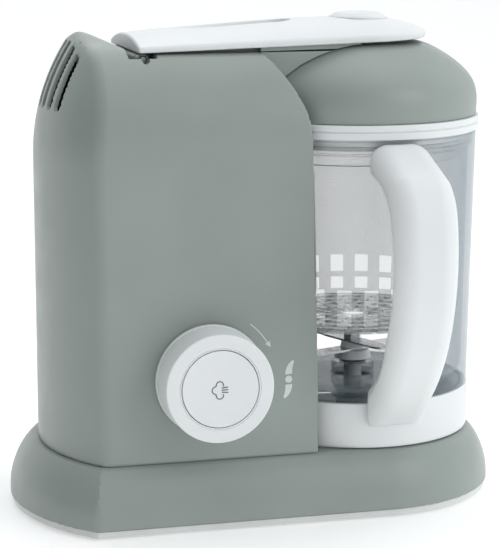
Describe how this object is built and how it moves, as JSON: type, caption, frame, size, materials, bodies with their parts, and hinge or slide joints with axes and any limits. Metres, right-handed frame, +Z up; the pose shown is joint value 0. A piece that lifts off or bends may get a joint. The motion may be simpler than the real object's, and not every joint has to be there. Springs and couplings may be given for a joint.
{
  "type": "baby food maker",
  "caption": "Counter-top steamer and blender: arched tower with a turn knob, clear jug with steam basket and domed lid, and a hinged locking arm over the lid.",
  "frame": {"origin": "centre of the footprint on the table", "axes": "+X from the tower to the jug, -Y is the side with the knob, +Z up"},
  "size_m": [0.2702, 0.1949, 0.2652],
  "materials": {
    "sage_shell": "fine satin grain",
    "white_shell": "soft gloss",
    "pale_plate": "satin",
    "clear_jug": "clear, smooth",
    "grey_inner": "matt",
    "milky_basket": "satin, slightly translucent",
    "seal_rubber": "matt silicone",
    "foot_rubber": "matt",
    "blade_steel": "brushed",
    "plain_steel": "zinc plated",
    "pot_metal": "cast",
    "copper_wire": "enamelled",
    "magnet_grey": "matt ceramic ferrite",
    "brass_parts": "turned",
    "board_green": "lacquered",
    "black_plastic": "matt"
  },
  "bodies": {
    "base": {"base_shell": "sage_shell", "bottom_plate": "pale_plate", "rubber_feet": "foot_rubber", "bottom_screws": "plain_steel", "cord_gland": "black_plastic", "body_shell": "sage_shell", "recess_panel": "sage_shell", "steam_neck": "sage_shell", "hinge_pin": "plain_steel", "boiler_pot": "pot_metal", "boiler_cap": "grey_inner", "heating_element": "plain_steel", "thermostat": "plain_steel", "boiler_shelf": "grey_inner", "steam_pipe": "seal_rubber", "knob_bezel": "white_shell", "knob_spring": "plain_steel", "switch_bracket": "grey_inner", "micro_switches": "black_plastic", "circuit_board": "board_green", "motor_can": "plain_steel", "motor_end_bell": "plain_steel", "motor_magnets": "magnet_grey", "motor_brushes": "magnet_grey", "motor_bracket": "grey_inner", "drive_belt": "black_plastic", "spindle_bearings": "brass_parts"},
    "arm": {"arm_cover": "white_shell", "arm_tray": "sage_shell", "filler_seal": "seal_rubber", "release_spring": "plain_steel"},
    "release": {"release_button": "white_shell"},
    "latch": {"latch_bar": "grey_inner"},
    "turn_knob": {"knob": "white_shell", "knob_cam": "grey_inner"},
    "steam_key": {"steam_button": "white_shell"},
    "rotor": {"motor_shaft": "plain_steel", "rotor_core": "plain_steel", "rotor_windings": "copper_wire", "commutator": "brass_parts", "cooling_fan": "black_plastic", "drive_pulley": "pot_metal"},
    "drive_spindle": {"spindle": "plain_steel", "driven_pulley": "grey_inner", "drive_coupling": "white_shell"},
    "jug": {"jug_body": "clear_jug", "jug_ring": "white_shell", "jug_handle": "white_shell", "steam_basket": "milky_basket", "blade_bush": "white_shell", "blade_seal": "foot_rubber"},
    "blade_drive": {"driven_coupling": "grey_inner", "blade_shaft": "blade_steel", "blade_hub": "white_shell", "blades": "blade_steel", "blade_nut": "blade_steel"},
    "lid": {"lid_collar": "white_shell", "lid_seal": "seal_rubber", "lid_dome": "sage_shell"}
  },
  "joints": [
    {"name": "arm_hinge", "type": "hinge", "parent": "base", "child": "arm", "pos_m": [-0.066, 0, 0.244], "axis": [0, -1, 0], "range_deg": [0, 40]},
    {"name": "release_press", "type": "slide", "parent": "arm", "child": "release", "axis": [0, 0, -1], "range_m": [0, 0.002], "stiffness_N_per_m": 600, "springref_m": -0.001, "deforming": ["release_spring"]},
    {"name": "latch_slide", "type": "slide", "parent": "arm", "child": "latch", "axis": [1, 0, 0], "range_m": [0, 0.002]},
    {"name": "knob_turn", "type": "hinge", "parent": "base", "child": "turn_knob", "pos_m": [-0.038, -0.07, 0.0794], "axis": [0, 1, 0], "range_deg": [0, 60], "stiffness_Nm_per_rad": 0.06, "springref_deg": -11.46},
    {"name": "steam_press", "type": "slide", "parent": "base", "child": "steam_key", "axis": [0, 1, 0], "range_m": [0, 0.0025], "stiffness_N_per_m": 400, "springref_m": -0.001},
    {"name": "motor_spin", "type": "hinge", "parent": "base", "child": "rotor", "pos_m": [-0.07, 0.012, 0.075], "axis": [0, 0, 1], "continuous": true},
    {"name": "spindle_spin", "type": "hinge", "parent": "base", "child": "drive_spindle", "pos_m": [0.06, 0, 0.02], "axis": [0, 0, 1], "continuous": true},
    {"name": "jug_slide", "type": "slide", "parent": "base", "child": "jug", "axis": [1, 0, 0], "range_m": [0, 0.045]},
    {"name": "blade_spin", "type": "hinge", "parent": "jug", "child": "blade_drive", "pos_m": [0.06, 0, 0.06], "axis": [0, 0, 1], "continuous": true},
    {"name": "lid_twist", "type": "hinge", "parent": "jug", "child": "lid", "pos_m": [0.06, 0, 0.205], "axis": [0, 0, 1], "range_deg": [0, 30]}
  ],
  "couplings": [
    {"joint": "latch_slide", "follows": "release_press", "ratio": 1},
    {"joint": "spindle_spin", "follows": "motor_spin", "ratio": 0.4},
    {"joint": "blade_spin", "follows": "motor_spin", "ratio": 0.4}
  ]
}
